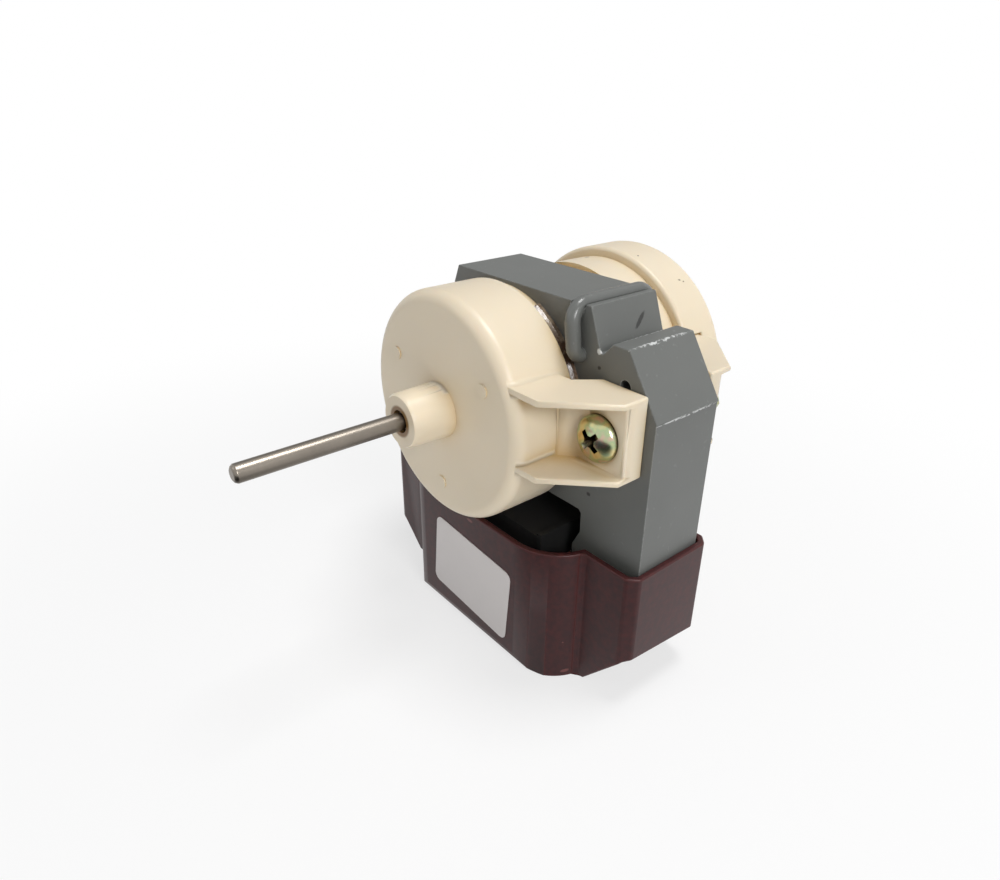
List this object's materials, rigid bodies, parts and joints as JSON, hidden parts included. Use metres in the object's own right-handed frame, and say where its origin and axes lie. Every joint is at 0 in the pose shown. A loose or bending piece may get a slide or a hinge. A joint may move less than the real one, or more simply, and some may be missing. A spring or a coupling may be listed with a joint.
{
  "type": "freezer fan motor",
  "caption": "C-frame shaded-pole fan motor with a plastic coil case, cup-shaped bearing housings held by screw ears, and a long plain output shaft.",
  "frame": {"origin": "on the shaft axis, where the bare shaft leaves the front hub", "axes": "the shaft points to -Y, the coil case is below (-Z), +X is to the right seen from the shaft end"},
  "size_m": [0.0746, 0.0893, 0.0737],
  "materials": {
    "grey_paint": "semi-gloss, worn at the edges",
    "bare_steel": "punched laminations",
    "bobbin_black": "moulded",
    "enamelled_copper": "enamelled wire",
    "tape_black": "insulating tape",
    "maroon_plastic": "smooth, slightly glossy",
    "terminal_brass": "plain",
    "label_paper": "matt sticker, blank",
    "cream_plastic": "smooth, satin",
    "brown_varnish": "set varnish",
    "bronze": "sintered",
    "felt": "oil felt",
    "spring_steel": "plain",
    "yellow_zinc": "yellow zinc plate",
    "shaft_steel": "ground",
    "cage_aluminium": "cast",
    "washer_nylon": "plain"
  },
  "bodies": {
    "motor": {"stator_stack": "grey_paint", "core_bar": "bare_steel", "bobbin": "bobbin_black", "coil_winding": "enamelled_copper", "coil_tape": "tape_black", "coil_case": "maroon_plastic", "terminal_tabs": "terminal_brass", "rating_label": "label_paper", "shading_ring_upper": "grey_paint", "shading_ring_lower": "grey_paint", "front_housing": "cream_plastic", "rear_housing": "cream_plastic", "rear_cap": "cream_plastic", "varnish_bead": "brown_varnish", "front_bearing": "bronze", "rear_bearing": "bronze", "front_felt": "felt", "rear_felt": "felt", "front_clip": "spring_steel", "rear_clip": "spring_steel", "ear_screws": "yellow_zinc", "ear_nuts": "yellow_zinc"},
    "rotor": {"shaft": "shaft_steel", "rotor_core": "bare_steel", "rotor_cage": "cage_aluminium", "rotor_spacers": "terminal_brass", "thrust_washers": "washer_nylon"}
  },
  "joints": [
    {"name": "rotor_spin", "type": "hinge", "parent": "motor", "child": "rotor", "pos_m": [0, 0, 0], "axis": [0, -1, 0], "continuous": true}
  ]
}
